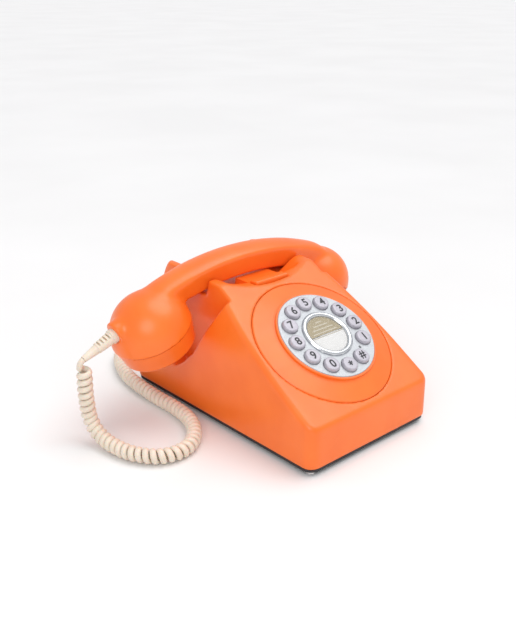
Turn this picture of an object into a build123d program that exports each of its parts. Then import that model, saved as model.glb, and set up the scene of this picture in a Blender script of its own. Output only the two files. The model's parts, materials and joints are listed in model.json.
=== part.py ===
from build123d import *
import math
import os

# A push-button desk telephone of the classic cradle-top shape, in millimetres.
# Working frame: X to the right, Y to the back, Z up, X = 0 on the middle of the case, Z = 0 on the table.
# Every piece is moved by TO_ORIGIN on export, so that the origin is under the middle of the telephone.

# ---- case
WALL = 2.6
BASE_Z = 5.7
FRONT_Y = -104.8
BACK_Y = 112.0
HALF_WIDTH = 66.2
SLOPE = 31.6
RING_Y = -50.3
RING_Z = 71.6
HORN_FRONT_Y = 12.5
HORN_BACK_Y = 74.0
HORN_BACK_TOP_Y = 84.0
HORN_BACK_Z = 113.0
CRADLE_Y = 42.0
CRADLE_FLOOR = 98.2
VALLEY_Z = 104.1
VALLEY_HALF = 42.0
RECESS_X = 50.0
CORNER_R = 9.0
RIDGE_R = 5.0
POSTS = ((60.0, -98.5, 30.0), (59.0, 99.5, 22.0))
POST_R = 4.2
SCREW_R = 1.5
FEET = ((53.0, -89.0), (51.0, 89.0))
FOOT_R = 6.0
PLATE_Z = 3.7

# ---- dial, measured from the slope's surface
BEZEL_R = 57.9
BEZEL_GAP = 0.35
BEZEL_BORE = 38.2
PLATE_R = 40.0
PLATE_TOP = 7.24
PLATE_T = 1.2
BUTTON_PITCH_R = 30.8
BUTTON_R = 6.3
BUTTON_GAP = 0.5
BUTTON_TOP = 10.2
BUTTON_FIRST = -27.5
BUTTON_STEP = 29.22
BUTTON_TRAVEL = 1.8
BUTTON_NAMES = ("1", "2", "3", "4", "5", "6", "7", "8", "9", "0", "star", "hash")
LABEL_RING_R = 21.2
LABEL_R = 16.8
LENS_PITCH_R = 27.6
LENS_ANGLE = -46.8
STEM_R = 2.0
COLLAR_LOW = 4.9
BOARD_TOP = -0.9

# ---- handset
HANDSET_X = -4.5
HANDLE_Z = 116.5
HANDLE_R = 239.0
HANDLE_HALF = 78.0
HANDLE_END_R = 24.0
HANDLE_END_TURN = 50.0
CUP_X = 82.5
CUP_Z = 61.0
CUP_TILT = 24.0
CAP_H = 17.1
DOME_R = {-1: 33.0, 1: 30.0}
CAP_SEAM_R = {-1: 32.4, 1: 29.5}
CAP_FACE_R = {-1: 30.0, 1: 27.5}
SHELL_T = 2.4
BOSS_R = 9.5
RELIEF_DIP = 23.0
RELIEF_START = (-127.5, CRADLE_Y, 83.0)
RELIEF_L = 30.0

# ---- curly cord
WIRE_D = 4.6
COIL_D = 12.5
FLOOR_CORD_Z = 6.4
LEAD_L = 7.6
LEAD_END = (-161.0, 42.0, 60.9)
COIL_START = (-161.0, 42.0, 60.5)
JACK_X = -5.0
JACK_Z = 13.5
JACK_FACE_Y = 111.6
BOOT_L = 12.4
LINE_JACK_X = 30.0

# ---- hook switch
HOOK_HALF = 17.0
HOOK_Y0 = 7.0
HOOK_STEP_Y = 15.0
HOOK_Y1 = 33.0
HOOK_LIP_TOP = 107.0
HOOK_TOP = 104.0
HOOK_STEM_Y = 24.0
BRACKET_Z = 74.0

# ---- ringer
GONG_R = 19.0
GONG_X = 23.0
GONG_Y = 76.0
GONG_Z = 12.5
GONG_H = 12.0
CLAPPER_Y = 47.5
CLAPPER_Z = 16.0

TO_ORIGIN = Location((7.86, -3.6, 0))


def slope_z(y):
    return RING_Z + (y - RING_Y) * math.tan(math.radians(SLOPE))


DIAL = Plane(
    origin=(0, RING_Y, RING_Z),
    x_dir=(1, 0, 0),
    z_dir=(0, -math.sin(math.radians(SLOPE)), math.cos(math.radians(SLOPE))),
)


def on_dial(shape):
    return DIAL.location * shape


def face_of(points):
    return make_face(Polyline(*points, close=True))


def side_profile(bottom):
    horn_top = slope_z(HORN_FRONT_Y)
    return face_of([
        (FRONT_Y, bottom),
        (FRONT_Y, slope_z(FRONT_Y)),
        (HORN_FRONT_Y, horn_top),
        (HORN_BACK_Y, HORN_BACK_Z),
        (HORN_BACK_TOP_Y, HORN_BACK_Z),
        (BACK_Y, bottom),
    ])


def front_profile(bottom):
    foot = (HALF_WIDTH, bottom)
    knee = (65.6, 50.0)
    top = (46.5, 118.0)
    lower = Line(foot, knee)
    upper = TangentArc(knee, top, tangent=(knee[0] - foot[0], knee[1] - foot[1]))
    right = [lower, upper]
    left = [mirror(edge, about=Plane.YZ) for edge in right]
    ends = [Line((-foot[0], foot[1]), foot), Line((-top[0], top[1]), top)]
    return make_face(Wire((Curve() + right + left + ends).edges()).edges())


def along_x(face, half):
    return extrude(Plane.YZ * face, half, both=True)


def along_y(face, start, length):
    sheet = Plane(origin=(0, start, 0), x_dir=(1, 0, 0), z_dir=(0, 1, 0))
    flipped = mirror(face, about=Plane.XZ)
    return extrude(sheet * flipped, length)


def grown(face, amount):
    return offset(face, amount, kind=Kind.INTERSECTION) if amount else face


def case_block(inset):
    bottom = BASE_Z - 2 * inset
    side = along_x(grown(side_profile(bottom), -inset), 80)
    front = along_y(grown(front_profile(bottom), -inset), FRONT_Y - 10, BACK_Y - FRONT_Y + 20)
    return side & front


def channel(grow):
    floor_half = 11.4
    lip_half = 15.7
    profile = face_of([
        (CRADLE_Y - lip_half - 0.8, 130.0),
        (CRADLE_Y - lip_half, 115.0),
        (CRADLE_Y - floor_half, CRADLE_FLOOR),
        (CRADLE_Y + floor_half, CRADLE_FLOOR),
        (CRADLE_Y + lip_half, 115.0),
        (CRADLE_Y + lip_half + 0.8, 130.0),
    ])
    return along_x(grown(profile, grow), 90)


def valley(grow):
    edge = ThreePointArc((-VALLEY_HALF, 110.0), (0, VALLEY_Z), (VALLEY_HALF, 110.0))
    rim = Polyline((VALLEY_HALF, 110.0), (VALLEY_HALF + 3, 135), (-VALLEY_HALF - 3, 135), (-VALLEY_HALF, 110.0))
    profile = make_face(Curve() + [edge, rim])
    return along_y(grown(profile, grow), -30, 150)


def trough(grow):
    across = face_of([
        (-40.0, 110.0),
        (-25.0, CRADLE_FLOOR),
        (25.0, CRADLE_FLOOR),
        (40.0, 110.0),
        (43.0, 130.0),
        (-43.0, 130.0),
    ])
    along = face_of([
        (16.0, 130.0),
        (16.0, 104.4),
        (28.0, CRADLE_FLOOR),
        (70.0, CRADLE_FLOOR),
        (86.5, 104.4),
        (86.5, 130.0),
    ])
    return along_y(grown(across, grow), -20, 140) & along_x(grown(along, grow), 60)


def recess(grow):
    profile = face_of([
        (-5.5, 110.0),
        (30.0, 52.5),
        (45.5, 38.5),
        (54.0, 34.0),
        (60.5, 37.5),
        (92.0, 110.0),
        (92.0, 140.0),
        (-5.5, 140.0),
    ])
    sheet = Plane(origin=(RECESS_X - grow, 0, 0), x_dir=(0, 1, 0), z_dir=(1, 0, 0))
    cut = extrude(sheet * grown(profile, grow), 60)
    return cut + mirror(cut, about=Plane.YZ)


def is_corner(edge):
    place = edge.center()
    upright = abs(edge.tangent_at(0.5).Z) > 0.5
    return upright and abs(place.X) > 40 and (place.Y < -100 or place.Y > 86)


def is_ridge(edge):
    place = edge.center()
    along = edge.tangent_at(0.5)
    on_slope = -105 < place.Y < 5 and place.Z > 37
    return on_slope and abs(along.Y) < 0.98 and (abs(place.X) < 30 or abs(along.Y) > 0.4)


def case_form(inset):
    block = case_block(inset)
    block = fillet(block.edges().filter_by(is_corner), CORNER_R - inset)
    block = fillet(block.edges().filter_by(is_ridge), RIDGE_R - inset)
    return block - channel(inset) - valley(inset) - trough(inset) - recess(inset)


def box_between(low, high):
    size = [b - a for a, b in zip(low, high)]
    middle = [(a + b) / 2 for a, b in zip(low, high)]
    return Pos(*middle) * Box(*size)


def post(x, y, z0, z1, radius):
    return Pos(x, y, z0) * Cylinder(radius, z1 - z0, align=(Align.CENTER, Align.CENTER, Align.MIN))


def corners(places):
    return [(side * x, *rest) for x, *rest in places for side in (-1, 1)]


def group(solids):
    return Compound(children=list(solids))


def turned(profile):
    return revolve(Plane.XZ * profile, Axis.Z)


# ---- case and base

def case_shell():
    outer = case_form(0)
    shell = outer - case_form(WALL)
    for x, y, top in corners(POSTS):
        rib = box_between((min(x, 64.5 * x / abs(x)), y - 1.5, BASE_Z), (max(x, 64.5 * x / abs(x)), y + 1.5, top))
        shell += (post(x, y, BASE_Z, top, POST_R) + rib) & outer
    for x, y, top in corners(POSTS):
        shell -= post(x, y, 0, 20.0, SCREW_R + 0.05)
    shell -= on_dial(post(0, 0, -8, 20, BEZEL_R + BEZEL_GAP))
    gap = 0.3
    shell -= box_between((-HOOK_HALF - gap, HOOK_Y0 - gap, 90), (HOOK_HALF + gap, HOOK_Y1 + gap, 112))
    for x in (JACK_X, LINE_JACK_X):
        shell -= box_between((x - 7.7, 92, JACK_Z - 6.7), (x + 7.7, 125, JACK_Z + 6.7))
    return shell


def base_plate():
    outline = RectangleRounded(2 * HALF_WIDTH - 2.4, BACK_Y - FRONT_Y - 2.4, CORNER_R - 1)
    middle_y = (BACK_Y + FRONT_Y) / 2
    plate = Pos(0, middle_y, PLATE_Z) * extrude(outline, BASE_Z - PLATE_Z)
    for x, y in corners([(41.0, -84.0), (41.0, -26.0)]):
        plate += post(x, y, BASE_Z, 11.0, 3.0)
    for x, y, top in corners(POSTS):
        plate -= post(x, y, 0, 10, SCREW_R + 0.4)
    for step in range(6):
        plate -= box_between((-22, 18 + 3.6 * step, 0), (22, 19.8 + 3.6 * step, 10))
    return plate


def rubber_feet():
    foot = chamfer(post(0, 0, 0, PLATE_Z, FOOT_R).edges().group_by(Axis.Z)[0], 0.6)
    return group(Pos(x, y, 0) * foot for x, y in corners(FEET))


def pan_screw(length, shaft_r, head_r, head_h):
    return post(0, 0, -head_h, 0, head_r) + post(0, 0, 0, length, shaft_r)


def case_screws():
    screw = pan_screw(15.0, SCREW_R, 3.2, 1.7)
    return group(Pos(x, y, PLATE_Z) * screw for x, y, top in corners(POSTS))


# ---- dial

def dial_bezel():
    under = -WALL - 0.05
    profile = face_of([
        (BEZEL_BORE, PLATE_TOP - PLATE_T),
        (PLATE_R + 0.3, PLATE_TOP - PLATE_T),
        (PLATE_R + 0.3, 6.6),
        (PLATE_R + 1.2, 6.6),
        (PLATE_R + 1.7, 6.1),
        (PLATE_R + 1.7, 4.2),
        (PLATE_R + 3.2, 3.7),
        (BEZEL_R - 0.7, 0.15),
        (BEZEL_R, -0.5),
        (BEZEL_R, under),
        (59.2, under),
        (59.2, -4.6),
        (54.5, -4.6),
        (54.5, under),
        (BEZEL_BORE + 2.2, 1.3),
        (BEZEL_BORE + 2.2, -4.6),
        (BEZEL_BORE, -4.6),
    ])
    return on_dial(turned(profile))


def button_places():
    angles = [math.radians(BUTTON_FIRST + BUTTON_STEP * k) for k in range(len(BUTTON_NAMES))]
    return [(BUTTON_PITCH_R * math.cos(a), BUTTON_PITCH_R * math.sin(a)) for a in angles]


def lens_place():
    angle = math.radians(LENS_ANGLE)
    return LENS_PITCH_R * math.cos(angle), LENS_PITCH_R * math.sin(angle)


def dial_plate():
    plate = post(0, 0, PLATE_TOP - PLATE_T, PLATE_TOP, PLATE_R)
    plate = fillet(plate.edges().group_by(Axis.Z)[-1], 0.7)
    for x, y in button_places():
        plate -= post(x, y, 0, 20, BUTTON_R + BUTTON_GAP)
    x, y = lens_place()
    return on_dial(plate - post(x, y, 0, 20, 1.25))


def button(place):
    x, y = place
    cap = post(0, 0, 5.5, BUTTON_TOP, BUTTON_R)
    cap = fillet(cap.edges().group_by(Axis.Z)[-1], 1.3)
    collar = post(0, 0, COLLAR_LOW, PLATE_TOP - PLATE_T - 0.1, BUTTON_R + BUTTON_GAP + 0.3)
    return on_dial(Pos(x, y, 0) * (cap + collar + post(0, 0, BOARD_TOP + BUTTON_TRAVEL + 0.3, 5.0, STEM_R)))


def keypad_mat():
    mat = post(0, 0, BOARD_TOP, 1.0, BEZEL_BORE - 0.3)
    for x, y in button_places():
        mat += post(x, y, 0.5, COLLAR_LOW - BUTTON_TRAVEL - 0.2, STEM_R + 1.4)
    for x, y in button_places():
        mat -= post(x, y, -5, 5, STEM_R + 0.4)
    return on_dial(mat)


def keypad_board():
    return on_dial(post(0, 0, BOARD_TOP - 1.6, BOARD_TOP, BEZEL_BORE - 0.3))


def keypad_back():
    return on_dial(post(0, 0, -4.6, -2.5, BEZEL_BORE - 0.1) - post(0, -20, -6, 0, 6))


def label_ring():
    low = PLATE_TOP
    top = ThreePointArc((LABEL_R + 0.1, low + 1.2), (19.0, low + 2.3), (LABEL_RING_R, low + 0.5))
    sides = Polyline((LABEL_RING_R, low + 0.5), (LABEL_RING_R, low), (LABEL_R + 0.1, low), (LABEL_R + 0.1, low + 1.2))
    return on_dial(turned(make_face(Curve() + [top, sides])))


def label_card():
    return on_dial(post(0, 0, PLATE_TOP, PLATE_TOP + 0.3, LABEL_R))


def label_window():
    return on_dial(post(0, 0, PLATE_TOP + 0.3, PLATE_TOP + 1.1, LABEL_R))


def indicator_lens():
    x, y = lens_place()
    lens = post(x, y, PLATE_TOP - PLATE_T, PLATE_TOP + 0.7, 1.2)
    return on_dial(fillet(lens.edges().group_by(Axis.Z)[-1], 0.55))


# ---- hook switch

def hook_bar():
    lip = box_between((-HOOK_HALF, HOOK_Y0, 98.0), (HOOK_HALF, HOOK_STEP_Y, HOOK_LIP_TOP))
    lip = fillet(lip.edges().group_by(Axis.Z)[-1], 1.6)
    head = box_between((-HOOK_HALF, HOOK_STEP_Y, 86.0), (HOOK_HALF, HOOK_Y1, HOOK_TOP))
    collar = box_between((-HOOK_HALF - 2, HOOK_STEP_Y - 1.5, 86.0), (HOOK_HALF + 2, HOOK_Y1 + 1.5, 88.0))
    return lip + head + collar + post(0, HOOK_STEM_Y, 72.5, 86.0, 2.5)


def hook_spring():
    height = 86.0 - BRACKET_Z - 2.5 - 1.2
    coil = Helix(pitch=height / 5, height=height, radius=4.0)
    wire = sweep(Plane(origin=coil @ 0, z_dir=coil % 0) * Circle(0.5), path=coil, is_frenet=True)
    return Pos(0, HOOK_STEM_Y, BRACKET_Z + 2.5 + 0.6) * wire


def hook_bracket():
    plate = box_between((-30, 14, BRACKET_Z), (30, 34, BRACKET_Z + 2.5))
    plate -= post(0, HOOK_STEM_Y, 60, 90, 2.9)
    roof = CRADLE_FLOOR - WALL - 0.05
    for side in (-1, 1):
        inner, outer = sorted((side * 24.5, side * 27.0))
        plate += box_between((inner, 16, BRACKET_Z), (outer, 32, roof))
    return plate


def hook_switch():
    body = box_between((-10, 19, 58.0), (10, 29, 71.5))
    ears = box_between((-15, 19, 68.0), (15, 29, 71.5))
    hangers = box_between((-15, 19, 71.5), (-12, 29, BRACKET_Z)) + box_between((12, 19, 71.5), (15, 29, BRACKET_Z))
    return body + ears + hangers


# ---- ringer

def ringer_frame():
    frame = box_between((-36, 26, BASE_Z), (36, 95, BASE_Z + 1.5))
    for side in (-1, 1):
        frame += post(side * GONG_X, GONG_Y, BASE_Z, GONG_Z + GONG_H - 1.6, 2.0)
        inner, outer = sorted((side * 18.0, side * 20.5))
        frame += box_between((inner, 27, BASE_Z), (outer, 42, 28.0))
    return frame + post(0, CLAPPER_Y, BASE_Z, 22.0, 1.5)


def ringer_coil():
    bobbin = Cylinder(9.0, 36.0) - Cylinder(2.6, 50.0)
    groove = Cylinder(9.5, 31.0) - Cylinder(8.0, 32.0)
    return Pos(0, 34.5, 17.5) * Rot(0, 90, 0) * (bobbin - groove)


def coil_core():
    return Pos(0, 34.5, 17.5) * Rot(0, 90, 0) * Cylinder(2.5, 36.0)


def gong(side):
    outer = ThreePointArc((GONG_R, 0), (GONG_R * 0.75, GONG_H * 0.62), (2.1, GONG_H))
    inner = ThreePointArc((2.1, GONG_H - 1.5), (GONG_R * 0.67, GONG_H * 0.54), (GONG_R - 1.5, 0))
    edges = [outer, Line((2.1, GONG_H), (2.1, GONG_H - 1.5)), inner, Line((GONG_R - 1.5, 0), (GONG_R, 0))]
    return Pos(side * GONG_X, GONG_Y, GONG_Z) * turned(make_face(Curve() + edges))


def gong_screws():
    screw = post(0, 0, 0, 2.2, 4.0)
    return group(Pos(side * GONG_X, GONG_Y, GONG_Z + GONG_H + 0.05) * screw for side in (-1, 1))


def clapper():
    hub = post(0, CLAPPER_Y, CLAPPER_Z - 3, CLAPPER_Z + 3, 3.5)
    hub += box_between((-19, 44.6, CLAPPER_Z - 2), (19, 46.2, CLAPPER_Z + 2))
    hub -= post(0, CLAPPER_Y, 0, 40, 1.56)
    arm = Pos(0, 62.5, CLAPPER_Z) * Rot(90, 0, 0) * Cylinder(1.0, 25.0)
    return hub + arm + Pos(0, GONG_Y, CLAPPER_Z) * Sphere(2.6)


# ---- electronics

def main_board():
    board = box_between((-46, -89, 11.0), (46, -21, 12.6))
    for x, y in corners([(41.0, -84.0), (41.0, -26.0)]):
        board -= post(x, y, 0, 20, 1.6)
    return board


def board_screws():
    screw = post(0, 0, 0, 1.8, 2.8)
    return group(Pos(x, y, 12.6) * screw for x, y in corners([(41.0, -84.0), (41.0, -26.0)]))


def board_parts():
    top = 12.6
    cans = [post(x, y, top, top + 11, 4.0) for x, y in ((-30, -40), (-20, -40), (22, -78))]
    chips = [box_between((x, y, top), (x + 8, y + 20, top + 3.2)) for x, y in ((-8, -62), (10, -62))]
    relay = box_between((24, -56, top), (38, -36, top + 10))
    plug = box_between((-12, -36, top), (12, -30, top + 7))
    bridge = [box_between((-34 + 9 * k, -80, top), (-28 + 9 * k, -74, top + 4)) for k in range(3)]
    return group(cans + chips + [relay, plug] + bridge)


def keypad_cable():
    route = [(-33.0, 19.7), (-33.0, 30.0), (-50.0, 42.0), (-63.5, 55.5)]
    back = [(y + 0.6, z + 0.5) for y, z in reversed(route)]
    return along_x(face_of(route + back), 8)


def modular_jack(x, bore):
    block = box_between((x - 7.5, 96, JACK_Z - 6.5), (x + 7.5, JACK_FACE_Y, JACK_Z + 6.5))
    half_w, half_h = bore
    return block - box_between((x - half_w, 99.5, JACK_Z - half_h), (x + half_w, 120, JACK_Z + half_h))


# ---- handset

def handle_path():
    bend = math.asin(HANDLE_HALF / HANDLE_R)
    end_z = HANDLE_Z - HANDLE_R * (1 - math.cos(bend))
    full = bend + math.radians(HANDLE_END_TURN)
    half = bend + math.radians(HANDLE_END_TURN) / 2

    def on_end(angle, side):
        centre_x = HANDLE_HALF - HANDLE_END_R * math.sin(bend)
        centre_z = end_z - HANDLE_END_R * math.cos(bend)
        x = HANDSET_X + side * (centre_x + HANDLE_END_R * math.sin(angle))
        return x, CRADLE_Y, centre_z + HANDLE_END_R * math.cos(angle)

    left_end = (HANDSET_X - HANDLE_HALF, CRADLE_Y, end_z)
    right_end = (HANDSET_X + HANDLE_HALF, CRADLE_Y, end_z)
    left = ThreePointArc(on_end(full, -1), on_end(half, -1), left_end)
    top = ThreePointArc(left_end, (HANDSET_X, CRADLE_Y, HANDLE_Z), right_end)
    right = ThreePointArc(right_end, on_end(half, 1), on_end(full, 1))
    return Wire([left, top, right])


def handle_section(inset):
    crown = ThreePointArc((-14.5, 6.5), (0, 11.0), (14.5, 6.5))
    sides = Polyline((14.5, 6.5), (11.0, -11.0), (-11.0, -11.0), (-14.5, 6.5))
    face = make_face(Curve() + [crown, sides])
    face = fillet(face.vertices(), 2.8)
    return offset(face, -inset) if inset else face


def handle_solid(inset):
    path = handle_path()
    along = path % 0
    start = Plane(origin=path @ 0, x_dir=(0, 1, 0), z_dir=along)
    return sweep(start * handle_section(inset), path=path)


def cup_plane(side):
    tilt = math.radians(CUP_TILT)
    return Plane(
        origin=(HANDSET_X + side * CUP_X, CRADLE_Y, CUP_Z),
        x_dir=(math.cos(tilt), 0, -side * math.sin(tilt)),
        z_dir=(side * math.sin(tilt), 0, math.cos(tilt)),
    )


def dome(side, inset):
    ball = Pos(0, 0, CAP_H + 0.2) * Sphere(DOME_R[side] - inset)
    half = ball - box_between((-50, -50, -50), (50, 50, CAP_H + 0.2))
    return cup_plane(side).location * half


def relief_plane():
    dip = math.radians(RELIEF_DIP)
    return Plane(origin=RELIEF_START, x_dir=(0, 1, 0), z_dir=(-math.cos(dip), 0, -math.sin(dip)))


def handset_shell():
    boss = fillet(post(0, 0, -36, 0, BOSS_R).edges().group_by(Axis.Z)[-1], 1.5)
    outer = handle_solid(0) + dome(-1, 0) + dome(1, 0) + relief_plane().location * boss
    inner = handle_solid(SHELL_T) + dome(-1, SHELL_T) + dome(1, SHELL_T)
    under = [cup_plane(side).location * box_between((-60, -60, -60), (60, 60, CAP_H + 0.2)) for side in (-1, 1)]
    bore = post(0, 0, -36, 5, 3.2) + post(0, 0, 0, 5, 6.1)
    return outer - inner - relief_plane().location * bore - under[0] - under[1]


def cup_cap(side, rings):
    face_r = CAP_FACE_R[side]
    neck_r = DOME_R[side] - SHELL_T - 0.6
    bore_r = neck_r - 2.0
    edge = ThreePointArc((face_r - 4.4, 0), (face_r - 1.2, 1.2), (face_r, 4.2))
    wall = Polyline((face_r, 4.2), (CAP_SEAM_R[side], CAP_H), (neck_r, CAP_H), (neck_r, 22.0))
    inside = Polyline((neck_r, 22.0), (bore_r, 22.0), (bore_r, 4.6), (bore_r - 1.6, 2.6), (0, 2.6))
    ends = [Line((0, 0), (face_r - 4.4, 0)), Line((0, 2.6), (0, 0))]
    cap = turned(make_face(Curve() + ends + [edge, wall, inside]))
    cap -= post(0, 0, -1, 4, 1.1)
    for count, radius in rings:
        for k in range(count):
            angle = 2 * math.pi * k / count
            cap -= post(radius * math.cos(angle), radius * math.sin(angle), -1, 4, 1.1)
    return cup_plane(side).location * cap


def capsule(side, radius, height):
    body = post(0, 0, 3.0, 3.0 + height, radius) + post(0, 0, 3.0 + height, 5.0 + height, radius * 0.6)
    return cup_plane(side).location * body


def handset_weight():
    return Pos(HANDSET_X, CRADLE_Y, HANDLE_Z + 0.5) * Box(60, 12, 7)


def handset_wires():
    low = HANDLE_Z - 6.5
    ends = [(HANDSET_X + side * 66, CRADLE_Y, low - 9.1) for side in (-1, 1)]
    path = ThreePointArc(ends[0], (HANDSET_X, CRADLE_Y, low), ends[1])
    start = Plane(origin=path @ 0, x_dir=(0, 1, 0), z_dir=path % 0)
    return sweep(start * Circle(1.4), path=path)


def strain_relief():
    neck = post(0, 0, -8, 0, 3.1)
    collar = post(0, 0, 0, 3.5, 5.8)
    ribbed = Pos(0, 0, 3.5) * Cone(5.2, 4.3, 13.5, align=(Align.CENTER, Align.CENTER, Align.MIN))
    sleeve = Pos(0, 0, 17.0) * Cone(3.9, 2.5, RELIEF_L - 17, align=(Align.CENTER, Align.CENTER, Align.MIN))
    relief = neck + collar + ribbed + sleeve
    for row in range(4):
        z = 5.2 + 3.0 * row
        for side in (-1, 1):
            y0, y1 = sorted((side * 2.4, side * 6.5))
            relief -= box_between((-4.6, y0, z), (4.6, y1, z + 1.4))
    return relief_plane().location * relief


# ---- curly cord

def relief_end():
    dip = math.radians(RELIEF_DIP)
    x, y, z = RELIEF_START
    return x - RELIEF_L * math.cos(dip), y, z - RELIEF_L * math.sin(dip)


def lead_route():
    dip = math.radians(RELIEF_DIP)
    x, y, z = relief_end()
    straight_on = (x - LEAD_L * math.cos(dip), y, z - LEAD_L * math.sin(dip))
    return [(x, y, z), straight_on, LEAD_END]


def coil_route():
    floor = FLOOR_CORD_Z
    return [
        COIL_START,
        (-159.2, 42.0, 48.0),
        (-156.0, 43.4, 33.5),
        (-152.8, 44.0, 19.0),
        (-150.5, 35.0, 8.6),
        (-149.0, 18.0, floor),
        (-144.0, -2.0, floor),
        (-130.0, -19.0, floor),
        (-109.0, -20.5, floor),
        (-92.0, -7.0, floor),
        (-81.5, 13.0, floor),
        (-78.5, 36.0, floor),
        (-79.5, 60.0, floor),
        (-78.5, 85.0, floor),
        (-75.5, 110.0, floor),
        (-67.0, 134.0, floor),
        (-52.5, 157.5, floor),
        (-35.0, 165.5, floor),
        (-16.6, 161.0, 9.4),
        (JACK_X, 145.5, JACK_Z),
        (JACK_X, JACK_FACE_Y + BOOT_L, JACK_Z),
    ]


def arc_radii(points):
    radii = []
    for before, corner, after in zip(points, points[1:], points[2:]):
        arriving = Vector(*corner) - Vector(*before)
        leaving = Vector(*after) - Vector(*corner)
        half_turn = math.radians(arriving.get_angle(leaving)) / 2
        radii.append(0.45 * min(arriving.length, leaving.length) / math.tan(half_turn))
    return radii


def cord_tube(name, points, diameter):
    radii = arc_radii(points)
    path = FilletPolyline(*points, radius=radii)
    start = Plane(origin=path @ 0, z_dir=path % 0)
    tube = sweep(start * Circle(diameter / 2), path=path)
    section = math.pi * diameter ** 2 / 4
    print(name, "radii", [round(r, 1) for r in radii])
    print(name, "length", round(path.length, 1), "volume ratio", round(tube.volume / (section * path.length), 4))
    return tube


def handset_lead():
    return cord_tube("handset_lead", lead_route(), WIRE_D)


def handset_cord():
    return cord_tube("handset_cord", coil_route(), COIL_D)


def cord_plug():
    plug = box_between((JACK_X - 3.8, 101, JACK_Z - 3.2), (JACK_X + 3.8, JACK_FACE_Y, JACK_Z + 3.2))
    boot = Cone(4.8, 3.0, BOOT_L, align=(Align.CENTER, Align.CENTER, Align.MIN))
    return plug + Pos(JACK_X, JACK_FACE_Y, JACK_Z) * Rot(-90, 0, 0) * boot


PIECES = {
    "case_shell": case_shell,
    "base_plate": base_plate,
    "rubber_feet": rubber_feet,
    "case_screws": case_screws,
    "dial_bezel": dial_bezel,
    "dial_plate": dial_plate,
    "keypad_mat": keypad_mat,
    "keypad_board": keypad_board,
    "keypad_back": keypad_back,
    "label_ring": label_ring,
    "label_card": label_card,
    "label_window": label_window,
    "indicator_lens": indicator_lens,
    "hook_bar": hook_bar,
    "hook_spring": hook_spring,
    "hook_bracket": hook_bracket,
    "hook_switch": hook_switch,
    "ringer_frame": ringer_frame,
    "ringer_coil": ringer_coil,
    "coil_core": coil_core,
    "gong_left": lambda: gong(-1),
    "gong_right": lambda: gong(1),
    "gong_screws": gong_screws,
    "clapper": clapper,
    "main_board": main_board,
    "board_screws": board_screws,
    "board_parts": board_parts,
    "keypad_cable": keypad_cable,
    "handset_jack": lambda: modular_jack(JACK_X, (4.0, 3.4)),
    "line_jack": lambda: modular_jack(LINE_JACK_X, (5.0, 3.5)),
    "handset_shell": handset_shell,
    "mouthpiece_cap": lambda: cup_cap(-1, ((6, 7.0),)),
    "earpiece_cap": lambda: cup_cap(1, ((6, 5.5), (12, 11.0))),
    "microphone": lambda: capsule(-1, 13.0, 8.0),
    "receiver": lambda: capsule(1, 21.0, 12.0),
    "handset_weight": handset_weight,
    "handset_wires": handset_wires,
    "strain_relief": strain_relief,
    "handset_lead": handset_lead,
    "handset_cord": handset_cord,
    "cord_plug": cord_plug,
}
for name, place in zip(BUTTON_NAMES, button_places()):
    PIECES["button_" + name] = lambda place=place: button(place)


def main():
    os.makedirs("parts", exist_ok=True)
    for name, make in PIECES.items():
        export_step(TO_ORIGIN * make(), "parts/" + name + ".step")


if __name__ == "__main__":
    main()
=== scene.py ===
import json
import math

import bpy
import numpy as np
from mathutils import Matrix, Vector


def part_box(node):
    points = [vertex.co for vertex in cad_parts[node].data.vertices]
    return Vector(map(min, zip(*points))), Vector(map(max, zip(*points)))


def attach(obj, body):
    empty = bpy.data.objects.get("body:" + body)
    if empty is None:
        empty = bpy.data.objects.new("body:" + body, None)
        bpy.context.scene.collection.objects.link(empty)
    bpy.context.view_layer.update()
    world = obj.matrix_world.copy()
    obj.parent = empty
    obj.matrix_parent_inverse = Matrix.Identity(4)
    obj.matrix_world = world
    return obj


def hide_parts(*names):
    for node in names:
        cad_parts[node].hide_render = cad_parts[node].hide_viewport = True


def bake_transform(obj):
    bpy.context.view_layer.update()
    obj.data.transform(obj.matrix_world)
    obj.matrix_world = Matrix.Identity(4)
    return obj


# The looks of a push-button desk telephone, in metres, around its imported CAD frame.

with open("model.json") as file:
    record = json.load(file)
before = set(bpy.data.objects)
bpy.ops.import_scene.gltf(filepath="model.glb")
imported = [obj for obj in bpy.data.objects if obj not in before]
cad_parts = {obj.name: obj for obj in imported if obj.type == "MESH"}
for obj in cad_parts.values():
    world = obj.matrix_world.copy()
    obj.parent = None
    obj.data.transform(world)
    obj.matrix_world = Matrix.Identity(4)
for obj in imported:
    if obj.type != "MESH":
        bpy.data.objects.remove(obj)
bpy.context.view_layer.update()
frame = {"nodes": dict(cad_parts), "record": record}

# ---- places, worked out from the frame

CASE_FORWARD = 0.0036  # the design's origin lies this far in front of the case's middle
case_low, case_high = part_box("case_shell")
CASE = Vector(((case_low.x + case_high.x) / 2, (case_low.y + case_high.y) / 2 - CASE_FORWARD, 0.0))

SLOPE = math.radians(31.6)
RING_Y = -0.0503
RING_Z = 0.0716
BUTTON_TOP = 0.0102
BUTTON_PITCH_R = 0.0308
BUTTON_FIRST = -27.5  # degrees from the dial's right
BUTTON_STEP = 29.22
BUTTON_MARKS = {
    "1": "1", "2": "2", "3": "3", "4": "4", "5": "5", "6": "6",
    "7": "7", "8": "8", "9": "9", "0": "0", "star": "*", "hash": "#",
}
DIGIT_SIZE = 0.0094
DIGIT_WEIGHT = 0.00024
PRINT_T = 0.00003
LABEL_R = 0.0166
LABEL_TOP = 0.00754
WHITE_LIFT = 0.00001
GOLD_LIFT = 0.00002
RULE_LIFT = 0.00005
LINE_LIFT = 0.00006
BEZEL_HOLE_R = 0.05825
HANDSET_X = -0.0045
CUP_FACE = (0.0825, 0.042, 0.061)
CUP_TILT = math.radians(24)
CUP_SEAM = 0.0173
RELIEF_START = (-0.1275, 0.042, 0.083)
RELIEF_DIP = math.radians(23)

# ---- curly cord

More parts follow.
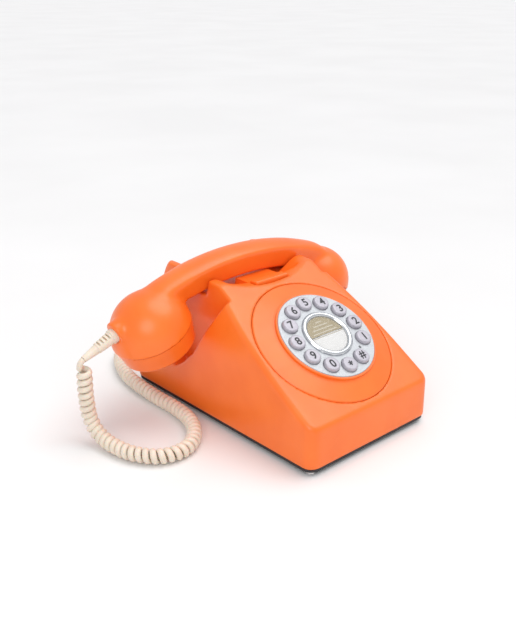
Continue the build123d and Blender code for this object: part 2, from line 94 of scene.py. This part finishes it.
WIRE_WIDE = 0.0049
WIRE_THICK = 0.0042
TURN_R = 0.00395
PITCH = 0.0055
TAIL_STRAIGHT = 0.004
LEAD_STEPS = 9
STEPS_PER_TURN = 20
SIDES = 12
FLOOR_Z = 0.0064
LEAD_ROUTE = (
    (-0.1551, 0.0420, 0.0713),
    (-0.1583, 0.0420, 0.0699),
)
COIL_ROUTE = (
    (-0.1548, 0.0425, 0.0640),
    (-0.1555, 0.0425, 0.0490),
    (-0.1545, 0.0434, 0.0340),
    (-0.1526, 0.0440, 0.0190),
    (-0.1505, 0.0350, 0.0086),
    (-0.1490, 0.0180, FLOOR_Z),
    (-0.1440, -0.0020, FLOOR_Z),
    (-0.1300, -0.0190, FLOOR_Z),
    (-0.1090, -0.0205, FLOOR_Z),
    (-0.0920, -0.0070, FLOOR_Z),
    (-0.0815, 0.0130, FLOOR_Z),
    (-0.0785, 0.0360, FLOOR_Z),
    (-0.0795, 0.0600, FLOOR_Z),
    (-0.0785, 0.0850, FLOOR_Z),
    (-0.0755, 0.1100, FLOOR_Z),
    (-0.0670, 0.1340, FLOOR_Z),
    (-0.0525, 0.1575, FLOOR_Z),
    (-0.0350, 0.1655, FLOOR_Z),
    (-0.0166, 0.1610, 0.0094),
    (-0.0050, 0.1455, 0.0135),
    (-0.0050, 0.1240, 0.0135),
)

# ---- camera, from the middle of the case

CAMERA_PLACE = (-0.4347, -0.4605, 0.3342)
CAMERA_AZIMUTH = math.radians(-41.867)
CAMERA_ELEVATION = math.radians(22.453)
CAMERA_LENS = 47.8


def placed(point):
    return CASE + Vector(point)


# ---- materials

class Finish:
    """A material with its shader and a texture space in metres, to which layers are added."""

    GLOSS_SPAN = (0.3, 0.7)
    COLOR_SPAN = (0.35, 0.65)

    def __init__(self, name, color, roughness, **sockets):
        self.material = bpy.data.materials.new(name)
        self.material.use_nodes = True
        self.tree = self.material.node_tree
        self.shader = self.tree.nodes["Principled BSDF"]
        self.shader.inputs["Base Color"].default_value = (*color, 1.0)
        self.shader.inputs["Roughness"].default_value = roughness
        for socket, value in sockets.items():
            self.shader.inputs[socket.replace("_", " ")].default_value = value
        self.space = self.node("ShaderNodeTexCoord").outputs["Object"]
        self.height = None

    def node(self, kind, **values):
        made = self.tree.nodes.new(kind)
        for key, value in values.items():
            if key in made.inputs:
                made.inputs[key].default_value = value
            else:
                setattr(made, key, value)
        return made

    def link(self, start, end):
        self.tree.links.new(start, end)

    def noise(self, scale, detail=3.0):
        texture = self.node("ShaderNodeTexNoise", Scale=scale, Detail=detail)
        self.link(self.space, texture.inputs["Vector"])
        return texture.outputs["Fac"]

    def ranged(self, value, low, high):
        made = self.node("ShaderNodeMapRange")
        made.inputs["From Min"].default_value = self.GLOSS_SPAN[0]
        made.inputs["From Max"].default_value = self.GLOSS_SPAN[1]
        made.inputs["To Min"].default_value = low
        made.inputs["To Max"].default_value = high
        self.link(value, made.inputs["Value"])
        return made.outputs["Result"]

    def mottled(self, first, second, scale, detail=3.0):
        ramp = self.node("ShaderNodeValToRGB")
        ramp.color_ramp.elements[0].position = self.COLOR_SPAN[0]
        ramp.color_ramp.elements[0].color = (*first, 1.0)
        ramp.color_ramp.elements[1].position = self.COLOR_SPAN[1]
        ramp.color_ramp.elements[1].color = (*second, 1.0)
        self.link(self.noise(scale, detail), ramp.inputs["Fac"])
        self.link(ramp.outputs["Color"], self.shader.inputs["Base Color"])
        return self

    def uneven_gloss(self, low, high, scale):
        self.link(self.ranged(self.noise(scale), low, high), self.shader.inputs["Roughness"])
        return self

    def bumped(self, value, depth, strength=1.0):
        bump = self.node("ShaderNodeBump", Distance=depth, Strength=strength)
        self.link(value, bump.inputs["Height"])
        if self.height is not None:
            self.link(self.height, bump.inputs["Normal"])
        self.height = bump.outputs["Normal"]
        self.link(self.height, self.shader.inputs["Normal"])
        return self

    def grained(self, scale, depth, strength=1.0):
        return self.bumped(self.noise(scale), depth, strength)


def glossy_orange():
    made = Finish("orange_plastic", (0.93, 0.17, 0.014), 0.36, Coat_Weight=0.12, Coat_Roughness=0.22)
    made.mottled((0.91, 0.160, 0.012), (0.95, 0.182, 0.017), 35.0)
    made.uneven_gloss(0.33, 0.40, 120.0)
    made.grained(900.0, 0.00004, 0.5)
    return made.grained(60.0, 0.0001, 0.35).material


def black_base():
    made = Finish("black_base", (0.02, 0.02, 0.022), 0.6)
    made.mottled((0.016, 0.016, 0.018), (0.028, 0.028, 0.030), 80.0)
    return made.grained(1800.0, 0.00008, 0.7).material


def dark_rubber():
    made = Finish("dark_rubber", (0.03, 0.03, 0.03), 0.75)
    made.mottled((0.022, 0.022, 0.023), (0.045, 0.044, 0.043), 140.0)
    return made.grained(1500.0, 0.0001, 0.8).material


def zinc_steel():
    made = Finish("zinc_steel", (0.6, 0.6, 0.61), 0.35, Metallic=1.0)
    made.mottled((0.52, 0.52, 0.53), (0.68, 0.68, 0.67), 300.0)
    return made.uneven_gloss(0.28, 0.45, 500.0).material


def silver_paint():
    made = Finish("silver_paint", (0.54, 0.56, 0.58), 0.42, Metallic=0.25)
    made.mottled((0.50, 0.52, 0.54), (0.59, 0.61, 0.63), 900.0, 6.0)
    made.uneven_gloss(0.36, 0.48, 400.0)
    return made.grained(2200.0, 0.00005, 0.8).material


def button_silver():
    made = Finish("button_silver", (0.47, 0.45, 0.50), 0.3, Metallic=0.2)
    made.mottled((0.43, 0.41, 0.455), (0.50, 0.475, 0.525), 700.0, 5.0)
    return made.grained(1600.0, 0.00003, 0.6).material


def bright_chrome():
    made = Finish("bright_chrome", (0.70, 0.72, 0.74), 0.22, Metallic=1.0)
    made.mottled((0.66, 0.68, 0.70), (0.75, 0.77, 0.79), 250.0)
    return made.uneven_gloss(0.18, 0.28, 350.0).material


def grey_rubber():
    made = Finish("grey_rubber", (0.10, 0.10, 0.11), 0.7)
    made.mottled((0.09, 0.09, 0.10), (0.13, 0.13, 0.14), 200.0)
    return made.grained(1200.0, 0.0001).material


def green_laminate():
    made = Finish("green_laminate", (0.02, 0.12, 0.05), 0.35)
    made.mottled((0.015, 0.09, 0.035), (0.03, 0.16, 0.06), 400.0, 6.0)
    return made.grained(2500.0, 0.00005).material


def label_paper():
    made = Finish("label_paper", (0.68, 0.67, 0.65), 0.6)
    made.mottled((0.65, 0.64, 0.62), (0.71, 0.70, 0.68), 500.0, 6.0)
    return made.grained(3000.0, 0.00003).material


def gold_print():
    made = Finish("gold_print", (0.30, 0.24, 0.13), 0.45, Metallic=0.3)
    made.mottled((0.27, 0.215, 0.115), (0.34, 0.275, 0.155), 800.0, 5.0)
    return made.grained(2600.0, 0.00003).material


def pale_print():
    made = Finish("pale_print", (0.50, 0.45, 0.34), 0.5)
    return made.mottled((0.46, 0.41, 0.30), (0.54, 0.49, 0.38), 900.0).material


def clear_window():
    made = Finish("clear_window", (0.98, 0.99, 1.0), 0.05, Alpha=0.08)
    return made.uneven_gloss(0.03, 0.08, 200.0).material


def spring_wire():
    made = Finish("spring_wire", (0.5, 0.51, 0.53), 0.3, Metallic=1.0)
    return made.mottled((0.42, 0.43, 0.45), (0.58, 0.59, 0.61), 600.0).material


def black_moulding():
    made = Finish("black_moulding", (0.02, 0.02, 0.02), 0.45)
    made.mottled((0.015, 0.015, 0.016), (0.03, 0.03, 0.032), 150.0)
    return made.grained(1400.0, 0.00006).material


def copper_wire():
    made = Finish("copper_wire", (0.55, 0.20, 0.07), 0.3, Metallic=0.9)
    wave = made.node("ShaderNodeTexWave", Scale=320.0, Distortion=0.4)
    made.link(made.space, wave.inputs["Vector"])
    made.mottled((0.48, 0.17, 0.06), (0.62, 0.25, 0.09), 300.0)
    return made.bumped(wave.outputs["Fac"], 0.0002).material


def gong_brass():
    made = Finish("gong_brass", (0.70, 0.50, 0.20), 0.25, Metallic=1.0)
    made.mottled((0.62, 0.43, 0.17), (0.76, 0.56, 0.25), 120.0)
    return made.uneven_gloss(0.18, 0.38, 90.0).material


def grey_cable():
    made = Finish("grey_cable", (0.16, 0.16, 0.17), 0.5)
    made.mottled((0.13, 0.13, 0.14), (0.20, 0.20, 0.21), 260.0)
    return made.grained(1500.0, 0.00005).material


def cream_vinyl():
    made = Finish("cream_vinyl", (0.78, 0.68, 0.56), 0.42, Subsurface_Weight=0.15, Subsurface_Scale=0.002)
    made.mottled((0.75, 0.65, 0.53), (0.81, 0.71, 0.59), 110.0)
    made.uneven_gloss(0.36, 0.50, 240.0)
    return made.grained(1300.0, 0.00004).material


def dark_ink():
    made = Finish("digit_ink", (0.012, 0.012, 0.016), 0.4)
    return made.mottled((0.010, 0.010, 0.014), (0.020, 0.020, 0.026), 900.0).material


FINISHES = {
    "orange_shell": glossy_orange,
    "base_plastic": black_base,
    "rubber": dark_rubber,
    "screw_steel": zinc_steel,
    "dial_silver": silver_paint,
    "button_silver": button_silver,
    "keypad_rubber": grey_rubber,
    "circuit_board": green_laminate,
    "ring_chrome": bright_chrome,
    "label_paper": label_paper,
    "clear_window": clear_window,
    "spring_steel": spring_wire,
    "bracket_steel": zinc_steel,
    "black_plastic": black_moulding,
    "copper_winding": copper_wire,
    "gong_brass": gong_brass,
    "cable_grey": grey_cable,
    "cream_cord": cream_vinyl,
}
finish = {slot: make() for slot, make in FINISHES.items()}
for row in frame["record"]["subparts"]:
    for place in frame["nodes"][row["node"]].material_slots:
        place.material = finish[row["material_slot"]]


# ---- mesh helpers

def new_object(name, data, material=None):
    made = bpy.data.objects.new(name, data)
    bpy.context.scene.collection.objects.link(made)
    if material is not None:
        made.data.materials.clear()
        made.data.materials.append(material)
    return made


def mesh_of(obj):
    bpy.context.view_layer.update()
    graph = bpy.context.evaluated_depsgraph_get()
    return bpy.data.meshes.new_from_object(obj.evaluated_get(graph), depsgraph=graph)


def smooth_shaded(mesh):
    mesh.polygons.foreach_set("use_smooth", [True] * len(mesh.polygons))
    return mesh


def mesh_points(mesh):
    points = np.empty(len(mesh.vertices) * 3)
    mesh.vertices.foreach_get("co", points)
    return points.reshape(-1, 3)


def set_mesh_points(mesh, points):
    mesh.vertices.foreach_set("co", points.ravel())
    mesh.update()


# ---- softened mouldings

HANDSET_VOXEL = 0.0008
CASE_VOXEL = 0.0009
STRONGEST = 0.6


def share_between(values, low, high):
    """0 below low, 1 above high, and a smooth step between."""
    part = np.clip((values - low) / (high - low), 0.0, 1.0)
    return part * part * (3 - 2 * part)


def voxel_copy(node, voxel):
    made = new_object("soft_" + node, frame["nodes"][node].data.copy())
    remesh = made.modifiers.new("voxels", "REMESH")
    remesh.mode = "VOXEL"
    remesh.voxel_size = voxel
    mesh = mesh_of(made)
    bpy.data.objects.remove(made)
    return mesh


def smoothed(mesh, share, turns):
    """Moves each point towards the middle of its neighbours by its share, for a number of turns."""
    ends = np.empty(len(mesh.edges) * 2, dtype=int)
    mesh.edges.foreach_get("vertices", ends)
    first, second = ends.reshape(-1, 2).T
    count = len(mesh.vertices)
    shared = np.bincount(ends, minlength=count)
    points = mesh_points(mesh)
    for _ in range(turns):
        for axis in range(3):
            values = points[:, axis]
            total = np.bincount(first, values[second], count) + np.bincount(second, values[first], count)
            points[:, axis] += share * (total / shared - values)
    set_mesh_points(mesh, points)
    return smooth_shaded(mesh)


def moulding(name, mesh, node, body):
    made = new_object(name, mesh, finish["orange_shell"])
    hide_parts(node)
    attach(made, body)


def above_seams(points):
    """How far each point is above the seam of the cup on its side."""
    side = np.where(points[:, 0] > HANDSET_X, 1.0, -1.0)
    along = (points[:, 0] - HANDSET_X) * side - CUP_FACE[0]
    return along * math.sin(CUP_TILT) + (points[:, 2] - CUP_FACE[2]) * math.cos(CUP_TILT) - CUP_SEAM


def soft_handset():
    """The handle's ridges stay fine, and the handle flows into the cups."""
    mesh = voxel_copy("handset_shell", HANDSET_VOXEL)
    points = mesh_points(mesh) - np.array(CASE)
    from_end = (points[:, 0] - RELIEF_START[0]) * math.cos(RELIEF_DIP)
    from_end += (points[:, 2] - RELIEF_START[2]) * math.sin(RELIEF_DIP)
    joint = share_between(abs(points[:, 0] - HANDSET_X), 0.052, 0.070)
    held = share_between(above_seams(points), 0.0005, 0.005) * share_between(from_end, 0.001, 0.008)
    mesh = smoothed(mesh, STRONGEST * (0.03 + 0.97 * held) * (0.12 + 0.88 * joint), 70)
    moulding("handset_moulding", mesh, "handset_shell", "handset")


def soft_case():
    """The ridges are rounded, and the dial's hole stays crisp."""
    mesh = voxel_copy("case_shell", CASE_VOXEL)
    points = mesh_points(mesh) - np.array(CASE) - np.array((0.0, RING_Y, RING_Z))
    up_slope = points[:, 1] * math.cos(SLOPE) + points[:, 2] * math.sin(SLOPE)
    height = points[:, 2] * math.cos(SLOPE) - points[:, 1] * math.sin(SLOPE)
    from_hole = abs(np.hypot(points[:, 0], up_slope) - BEZEL_HOLE_R) + 0.3 * abs(height)
    mesh = smoothed(mesh, STRONGEST * (0.12 + 0.88 * share_between(from_hole, 0.001, 0.004)), 9)
    moulding("case_moulding", mesh, "case_shell", "root")


soft_handset()
soft_case()


# ---- dial marks

DIAL = Matrix((
    (1.0, 0.0, 0.0, CASE.x),
    (0.0, math.cos(SLOPE), -math.sin(SLOPE), CASE.y + RING_Y),
    (0.0, math.sin(SLOPE), math.cos(SLOPE), RING_Z),
    (0.0, 0.0, 0.0, 1.0),
))


def button_digits():
    for place, (button, mark) in enumerate(BUTTON_MARKS.items()):
        angle = math.radians(BUTTON_FIRST + BUTTON_STEP * place)
        text = bpy.data.curves.new("text_" + button, "FONT")
        text.body = mark
        text.size = DIGIT_SIZE
        text.offset = DIGIT_WEIGHT
        text.extrude = PRINT_T
        line = new_object("text_" + button, text)
        mesh = mesh_of(line)
        bpy.data.objects.remove(line)
        points = mesh_points(mesh)
        points -= (points.min(axis=0) + points.max(axis=0)) / 2
        points[:, 0] += BUTTON_PITCH_R * math.cos(angle)
        points[:, 1] += BUTTON_PITCH_R * math.sin(angle)
        points[:, 2] += BUTTON_TOP + PRINT_T
        set_mesh_points(mesh, points)
        mesh.transform(DIAL)
        made = new_object("digit_" + button, mesh, digit_ink)
        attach(made, "button_" + button)


def label_piece(name, outline, height, material):
    """A thin flat print on the label card, from its outline in the dial's plane."""
    count = len(outline)
    points = [(x, y, z) for z in (height, height + PRINT_T) for x, y in outline]
    faces = [tuple(reversed(range(count))), tuple(range(count, 2 * count))]
    faces += [(k, (k + 1) % count, (k + 1) % count + count, k + count) for k in range(count)]
    mesh = bpy.data.meshes.new(name)
    mesh.from_pydata(points, [], faces)
    mesh.transform(DIAL)
    made = new_object(name, mesh, material)
    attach(made, "root")


def bar(middle_x, middle_y, length, width):
    x, y = length / 2, width / 2
    return [
        (middle_x - x, middle_y - y),
        (middle_x + x, middle_y - y),
        (middle_x + x, middle_y + y),
        (middle_x - x, middle_y + y),
    ]


def number_label():
    """Gold above and white below, with plain ruled lines in place of words."""
    angles = np.linspace(0.02, math.pi - 0.02, 49)
    half = [(LABEL_R * math.cos(a), LABEL_R * math.sin(a)) for a in angles]
    label_piece("label_gold", half, LABEL_TOP + GOLD_LIFT, gold_ink)
    lower = [(x, -y) for x, y in reversed(half)]
    label_piece("label_white", lower, LABEL_TOP + WHITE_LIFT, finish["label_paper"])
    label_piece("label_rule", bar(0, -0.0011, 0.0326, 0.0005), LABEL_TOP + RULE_LIFT, gold_ink)
    for middle_y, length in ((0.0120, 0.006), (0.0088, 0.015), (0.0056, 0.021), (0.0024, 0.025)):
        name = f"label_line_{length * 1000:.0f}"
        label_piece(name, bar(0, middle_y, length, 0.0009), LABEL_TOP + LINE_LIFT, pale_ink)


digit_ink = dark_ink()
gold_ink = gold_print()
pale_ink = pale_print()
button_digits()
number_label()


# ---- curly cord

def spline_points(route):
    """Points along a smooth NURBS line that has the route's points as its control points."""
    curve = bpy.data.curves.new("cord_line", "CURVE")
    curve.dimensions = "3D"
    curve.resolution_u = 24
    spline = curve.splines.new("NURBS")
    spline.points.add(len(route) - 1)
    for point, place in zip(spline.points, route):
        point.co = (*placed(place), 1.0)
    spline.order_u = 3
    spline.use_endpoint_u = True
    line = new_object("cord_line", curve)
    points = mesh_points(mesh_of(line))
    bpy.data.objects.remove(line)
    return points


def evenly(points, count):
    """The same line with its points evenly spaced, and how far along it each of them is."""
    steps = np.linalg.norm(np.diff(points, axis=0), axis=1)
    along = np.concatenate([[0.0], np.cumsum(steps)])
    wanted = np.linspace(0.0, along[-1], count)
    return np.column_stack([np.interp(wanted, along, points[:, k]) for k in range(3)]), wanted


def directions(points):
    ahead = np.gradient(points, axis=0)
    return ahead / np.linalg.norm(ahead, axis=1)[:, None]


def carried_sides(points):
    """The direction along the line at each point, and two across it that are carried without twist."""
    ahead = directions(points)
    side = np.array((-1.0, 0.0, 0.0))
    first = []
    for direction in ahead:
        side = side - direction * np.dot(side, direction)
        side /= np.linalg.norm(side)
        first.append(side)
    first = np.array(first)
    return ahead, first, np.cross(ahead, first)


def eased(line, middle, reach, turns=8):
    """The line with its points near middle drawn towards their neighbours."""
    near = 1.0 - share_between(abs(np.arange(len(line)) - middle), reach / 2, reach)
    for _ in range(turns):
        line[1:-1] += 0.5 * near[1:-1, None] * ((line[2:] + line[:-2]) / 2 - line[1:-1])
    return line


def helix_line():
    """The wire's line and the core it winds round.

    A short lead bends into the first turn, then come the turns and a straight tail.
    """
    rough = spline_points(COIL_ROUTE)
    length = np.linalg.norm(np.diff(rough, axis=0), axis=1).sum()
    core, along = evenly(rough, int((length - TAIL_STRAIGHT) / PITCH * STEPS_PER_TURN))
    ahead, first, second = carried_sides(core)
    radius = TURN_R * share_between(length - TAIL_STRAIGHT - along, 0.0, 1.2 * PITCH)
    turn = 2 * math.pi * along / PITCH
    wire = core + radius[:, None] * (np.cos(turn)[:, None] * first + np.sin(turn)[:, None] * second)
    corners = np.array([*(placed(point) for point in LEAD_ROUTE), wire[0]])
    lead = evenly(corners, LEAD_STEPS)[0][:-1]
    wire = eased(np.concatenate([lead, wire]), len(lead), 14)
    return wire, np.concatenate([lead + (TURN_R, 0.0, 0.0), core])


def tube_mesh(name, line, wide, thick, core):
    """A tube along line, with an oval section: thick across the core line, wide along it."""
    ahead = directions(line)
    outward = line - core
    outward -= ahead * (outward * ahead).sum(1)[:, None]
    size = np.linalg.norm(outward, axis=1)
    spare = np.cross(ahead, (0.0, 0.0, 1.0))
    outward = np.where((size > 1e-4)[:, None], outward, spare)
    outward /= np.linalg.norm(outward, axis=1)[:, None]
    across = np.cross(ahead, outward)
    angles = np.linspace(0.0, 2 * math.pi, SIDES, endpoint=False)
    rings = [
        line + math.cos(a) * thick / 2 * outward + math.sin(a) * wide / 2 * across
        for a in angles
    ]
    points = np.stack(rings, axis=1).reshape(-1, 3)
    faces = []
    for ring in range(len(line) - 1):
        for side in range(SIDES):
            after = (side + 1) % SIDES
            low, high = ring * SIDES, (ring + 1) * SIDES
            faces.append((low + side, low + after, high + after, high + side))
    last = (len(line) - 1) * SIDES
    faces.append(tuple(reversed(range(SIDES))))
    faces.append(tuple(last + side for side in range(SIDES)))
    mesh = bpy.data.meshes.new(name)
    mesh.from_pydata([tuple(p) for p in points], [], faces)
    mesh.validate()
    return smooth_shaded(mesh)


def curly_cord():
    line, core = helix_line()
    mesh = tube_mesh("curly_cord", line, WIRE_WIDE, WIRE_THICK, core)
    cord = new_object("curly_cord", mesh, finish["cream_cord"])
    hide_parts("handset_cord", "handset_lead")
    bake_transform(cord)


curly_cord()


# ---- studio

FLOOR_HALF = 40.0


def area_light(name, place, target, size, power):
    light = bpy.data.lights.new(name, "AREA")
    light.shape = "DISK"
    light.size = size
    light.energy = power
    made = new_object(name, light)
    made.location = placed(place)
    made.rotation_mode = "QUATERNION"
    made.rotation_quaternion = (Vector(target) - Vector(place)).to_track_quat("-Z", "Y")


def pale_floor():
    mesh = bpy.data.meshes.new("floor")
    half = FLOOR_HALF
    corners = [(-half, -half, 0), (half, -half, 0), (half, half, 0), (-half, half, 0)]
    mesh.from_pydata(corners, [], [(0, 1, 2, 3)])
    made = Finish("pale_floor", (0.86, 0.85, 0.84), 0.7)
    made.mottled((0.85, 0.84, 0.83), (0.88, 0.87, 0.86), 3.0)
    floor = new_object("floor", mesh, made.grained(60.0, 0.0002, 0.2).material)


def studio_light():
    world = bpy.data.worlds.new("studio")
    bpy.context.scene.world = world
    world.use_nodes = True
    world.node_tree.nodes["Background"].inputs["Color"].default_value = (0.96, 0.97, 1.0, 1.0)
    world.node_tree.nodes["Background"].inputs["Strength"].default_value = 0.66
    sun = bpy.data.lights.new("key", "SUN")
    sun.energy = 1.5
    sun.angle = math.radians(50)
    key = new_object("key", sun)
    key.rotation_mode = "QUATERNION"
    key.rotation_quaternion = Vector((-0.35, 0.15, -1.0)).to_track_quat("-Z", "Y")
    area_light("fill", (-0.9, -0.7, 0.8), (0, 0, 0.05), 0.8, 5.0)


def camera():
    data = bpy.data.cameras.new("camera")
    data.sensor_width = 36.0
    data.lens = CAMERA_LENS
    made = new_object("camera", data)
    made.location = placed(CAMERA_PLACE)
    made.rotation_mode = "QUATERNION"
    level = math.cos(CAMERA_ELEVATION)
    back = Vector((
        math.sin(CAMERA_AZIMUTH) * level,
        -math.cos(CAMERA_AZIMUTH) * level,
        math.sin(CAMERA_ELEVATION),
    ))
    made.rotation_quaternion = (-back).to_track_quat("-Z", "Y")
    bpy.context.scene.camera = made


pale_floor()
studio_light()
camera()
bpy.context.scene.view_settings.view_transform = "Standard"
